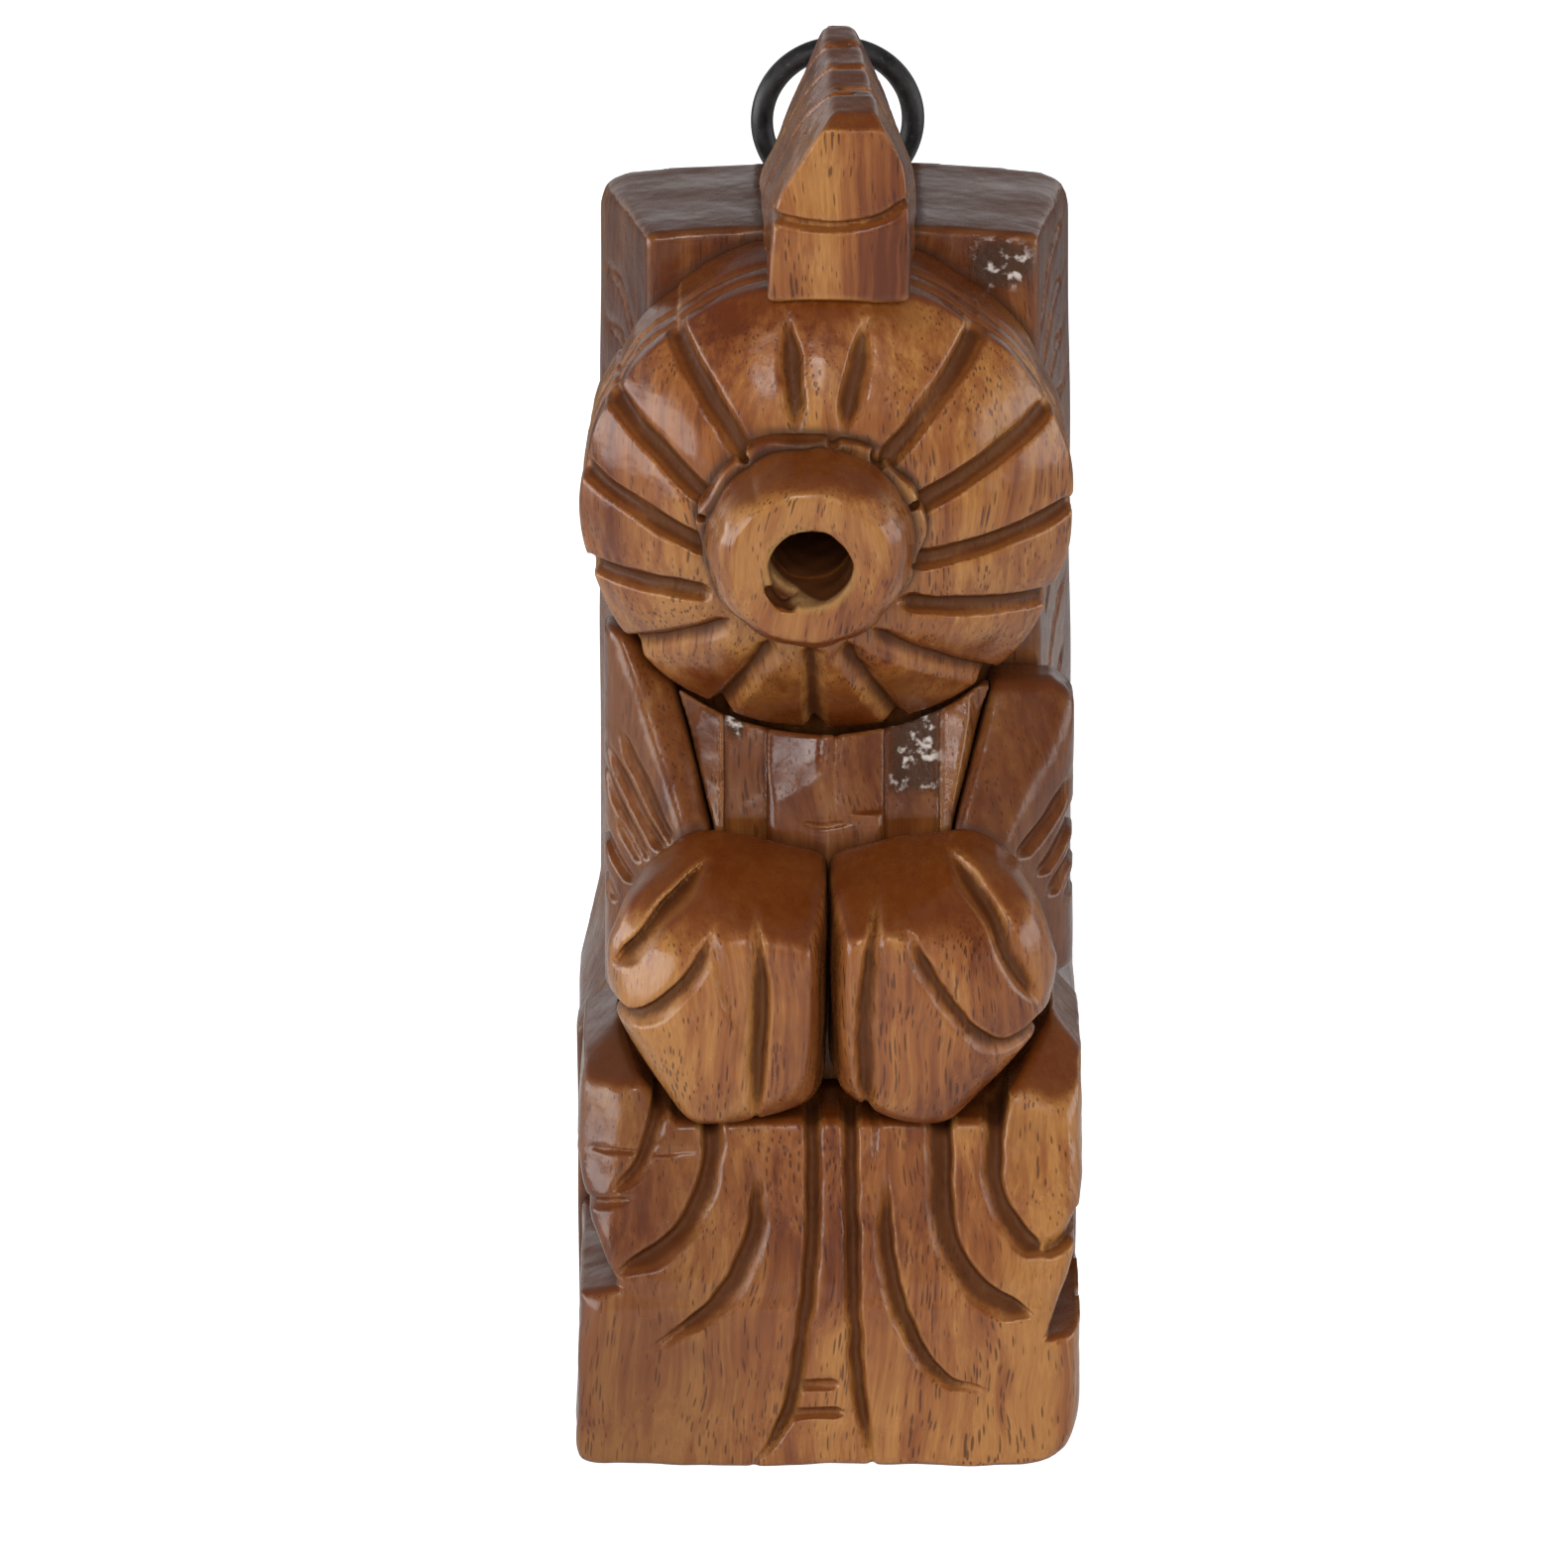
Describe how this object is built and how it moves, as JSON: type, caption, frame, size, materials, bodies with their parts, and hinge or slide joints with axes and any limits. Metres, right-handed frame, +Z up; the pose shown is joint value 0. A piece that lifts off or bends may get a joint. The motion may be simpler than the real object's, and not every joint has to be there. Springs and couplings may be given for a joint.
{
  "type": "carved wooden tiki figure",
  "caption": "Free-standing varnished wooden tiki figure with a fluted disc head, a bored spout, a crest and a cord hanging ring that swings at the back.",
  "frame": {"origin": "centre of the flat bottom face, where the figure stands", "axes": "+Z up along the post, -Y out of the figure's front, +X to the viewer's right"},
  "size_m": [0.061, 0.0684, 0.168],
  "materials": {
    "varnished_wood": "gloss varnish over hand-carved brown hardwood",
    "peg_wood": "plain turned beech, unvarnished",
    "black_rubber": "satin black rubber cord",
    "eye_steel": "dull plated steel wire"
  },
  "bodies": {
    "figure": {"back_post": "varnished_wood", "skirt_block": "varnished_wood", "torso": "varnished_wood", "left_arm": "varnished_wood", "right_arm": "varnished_wood", "left_hand": "varnished_wood", "right_hand": "varnished_wood", "head_drum": "varnished_wood", "spout_collar": "varnished_wood", "spout": "varnished_wood", "crest": "varnished_wood", "left_skirt_dowel": "peg_wood", "right_skirt_dowel": "peg_wood", "torso_dowel": "peg_wood", "head_dowel": "peg_wood", "crest_dowel": "peg_wood", "left_arm_dowel": "peg_wood", "right_arm_dowel": "peg_wood", "left_hand_dowel": "peg_wood", "right_hand_dowel": "peg_wood", "screw_eye": "eye_steel"},
    "ring": {"hanging_ring": "black_rubber"}
  },
  "joints": [
    {"name": "ring_swing", "type": "hinge", "parent": "figure", "child": "ring", "pos_m": [0.0012, 0.0336, 0.1415], "axis": [-1, 0, 0], "range_deg": [0, 180]}
  ]
}
